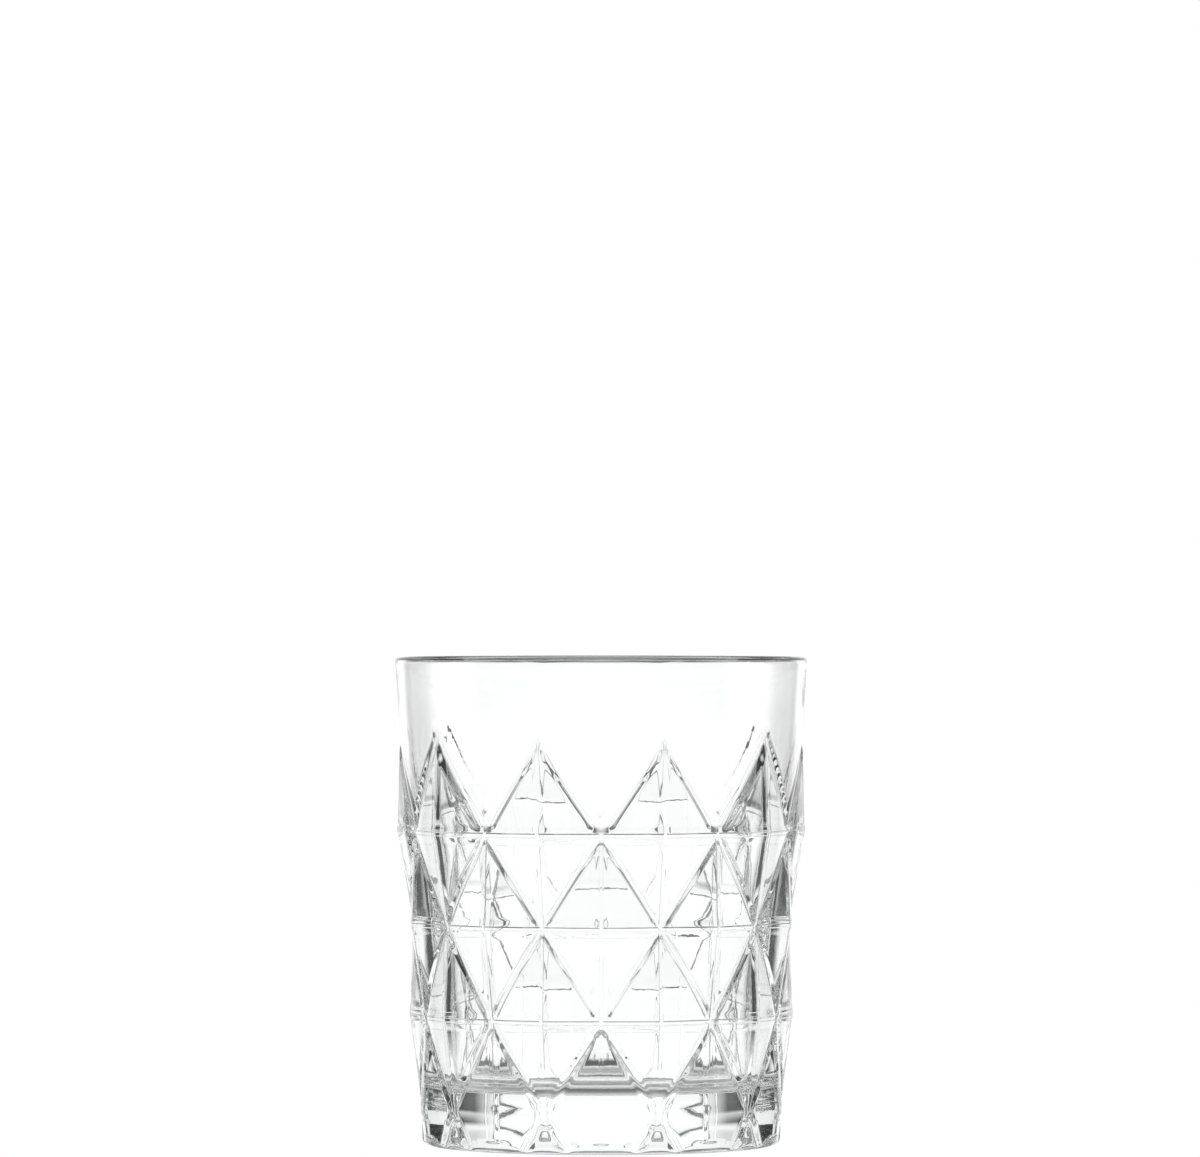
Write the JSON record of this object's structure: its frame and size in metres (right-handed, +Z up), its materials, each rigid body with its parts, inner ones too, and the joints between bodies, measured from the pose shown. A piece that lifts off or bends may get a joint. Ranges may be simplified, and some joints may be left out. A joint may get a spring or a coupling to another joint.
{
  "type": "whiskey tumbler",
  "caption": "Clear pressed-glass tumbler with a thick base, slightly tapered walls, a thin fire-polished lip and a relief of raised diamonds round the outside.",
  "frame": {"origin": "centre of the flat ring the glass stands on, at the lowest point", "axes": "+Z up along the axis of the glass to the open mouth; -Y is the front, where a groove crossing of the top row faces"},
  "size_m": [0.083, 0.083, 0.098],
  "materials": {
    "clear_glass": "clear fire-polished soda-lime glass"
  },
  "bodies": {
    "root": {"tumbler_glass": "clear_glass"}
  },
  "joints": []
}
